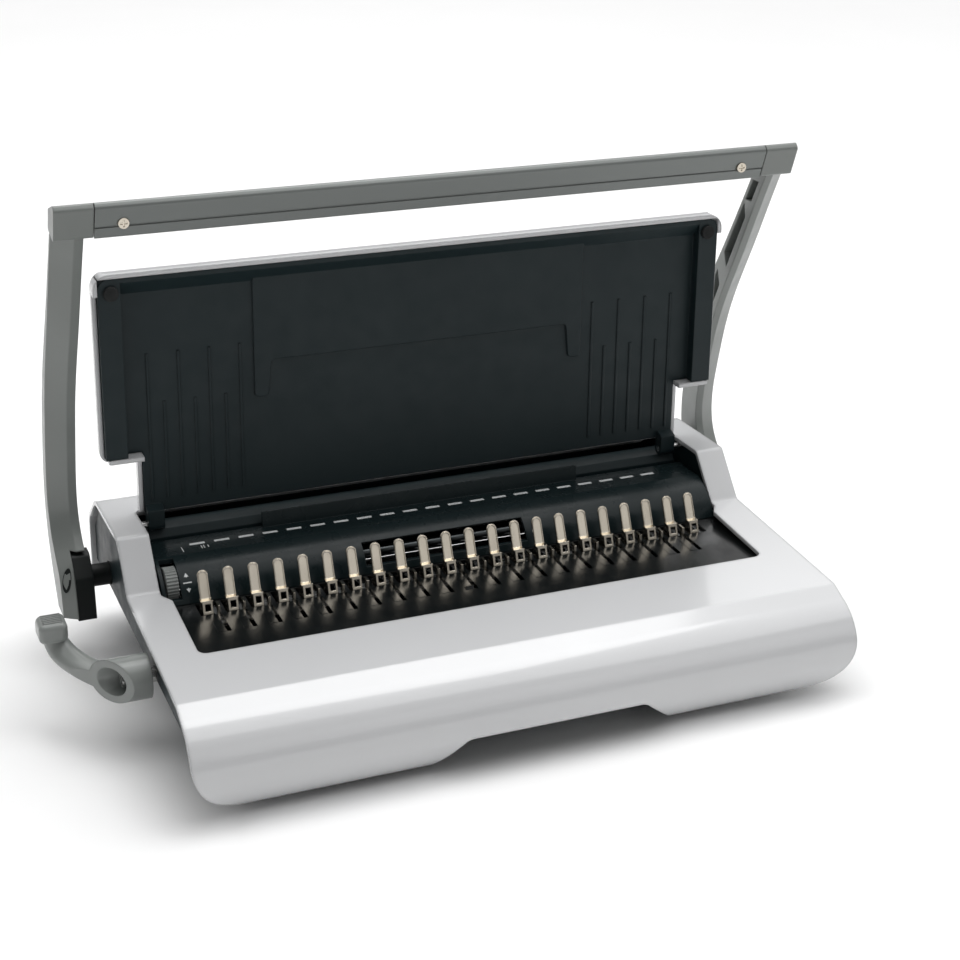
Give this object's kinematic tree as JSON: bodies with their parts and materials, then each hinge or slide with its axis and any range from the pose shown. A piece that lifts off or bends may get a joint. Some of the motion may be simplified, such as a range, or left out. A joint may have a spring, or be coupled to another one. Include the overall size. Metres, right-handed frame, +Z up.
{
  "type": "comb binding machine",
  "caption": "Manual desktop machine that punches paper and opens plastic combs: white shell, hinged lid, wide pull handle, comb lever, steel tines and removable chip tray.",
  "frame": {"origin": "middle of the machine on the plane its four feet stand on", "axes": "+X to the right along the machine as the user sees it, +Y to the back, +Z up"},
  "size_m": [0.4573, 0.2459, 0.2835],
  "materials": {
    "white_shell": "gloss",
    "dark_plastic": "satin",
    "grey_plastic": "satin",
    "black_plastic": "satin",
    "grey_bar": "satin paint",
    "black_steel": "semi-gloss",
    "nickel": "satin nickel",
    "bright_steel": "bright",
    "rubber": "matte"
  },
  "bodies": {
    "base": {"chassis": "dark_plastic", "top_shell": "white_shell", "bottom_cover": "dark_plastic", "base_screws": "bright_steel", "rubber_feet": "rubber", "deck_plate": "black_steel", "tine_rail": "bright_steel", "tines": "nickel", "lever_bearings": "black_plastic", "side_frames": "bright_steel", "drive_bearings": "black_plastic", "die_plate": "bright_steel", "punch_guide": "bright_steel", "throat_guide": "dark_plastic", "punch_housing": "dark_plastic", "margin_brackets": "bright_steel", "handle_spring": "bright_steel"},
    "handle": {"handle_bar": "grey_bar", "left_arm": "grey_plastic", "right_arm": "grey_plastic", "handle_screws": "bright_steel", "left_cup": "black_plastic", "right_cup": "black_plastic", "drive_shaft": "black_steel", "drive_pinions": "bright_steel"},
    "punch": {"punch_bar": "bright_steel", "punches": "bright_steel"},
    "lid": {"lid_cover": "white_shell", "lid_panel": "dark_plastic", "lid_bumpers": "rubber", "lid_pins": "bright_steel"},
    "opener": {"comb_lever": "grey_plastic", "lever_shaft": "bright_steel", "lever_pinions": "bright_steel"},
    "puller": {"hook_plate": "bright_steel", "comb_hooks": "bright_steel"},
    "adjuster": {"thumbwheel": "grey_plastic", "margin_shaft": "bright_steel", "margin_cams": "black_plastic"},
    "stop": {"margin_stop": "bright_steel"},
    "tray": {"chip_tray": "black_plastic"}
  },
  "joints": [
    {"name": "handle_pull", "type": "hinge", "parent": "base", "child": "handle", "pos_m": [0, 0.081, 0.046], "axis": [1, 0, 0], "range_deg": [0, 60]},
    {"name": "punch_stroke", "type": "slide", "parent": "base", "child": "punch", "axis": [0, -1, 0], "range_m": [0, 0.00901]},
    {"name": "lid_hinge", "type": "hinge", "parent": "base", "child": "lid", "pos_m": [0, 0.0625, 0.0815], "axis": [1, 0, 0], "range_deg": [0, 97]},
    {"name": "comb_lever_turn", "type": "hinge", "parent": "base", "child": "opener", "pos_m": [0, -0.034, 0.04], "axis": [1, 0, 0], "range_deg": [0, 111]},
    {"name": "hook_slide", "type": "slide", "parent": "base", "child": "puller", "axis": [0, -1, 0], "range_m": [0, 0.0175]},
    {"name": "margin_wheel", "type": "hinge", "parent": "base", "child": "adjuster", "pos_m": [0, 0.024, 0.0615], "axis": [1, 0, 0], "range_deg": [-80, 0]},
    {"name": "margin_drop", "type": "slide", "parent": "base", "child": "stop", "axis": [0, 0, -1], "range_m": [0, 0.0026]},
    {"name": "tray_pull", "type": "slide", "parent": "base", "child": "tray", "axis": [1, 0, 0], "range_m": [0, 0.2]}
  ],
  "couplings": [
    {"joint": "punch_stroke", "follows": "handle_pull", "m_per_rad": 0.0086},
    {"joint": "hook_slide", "follows": "comb_lever_turn", "m_per_rad": 0.009},
    {"joint": "margin_drop", "follows": "margin_wheel", "m_per_rad": -0.0018}
  ]
}
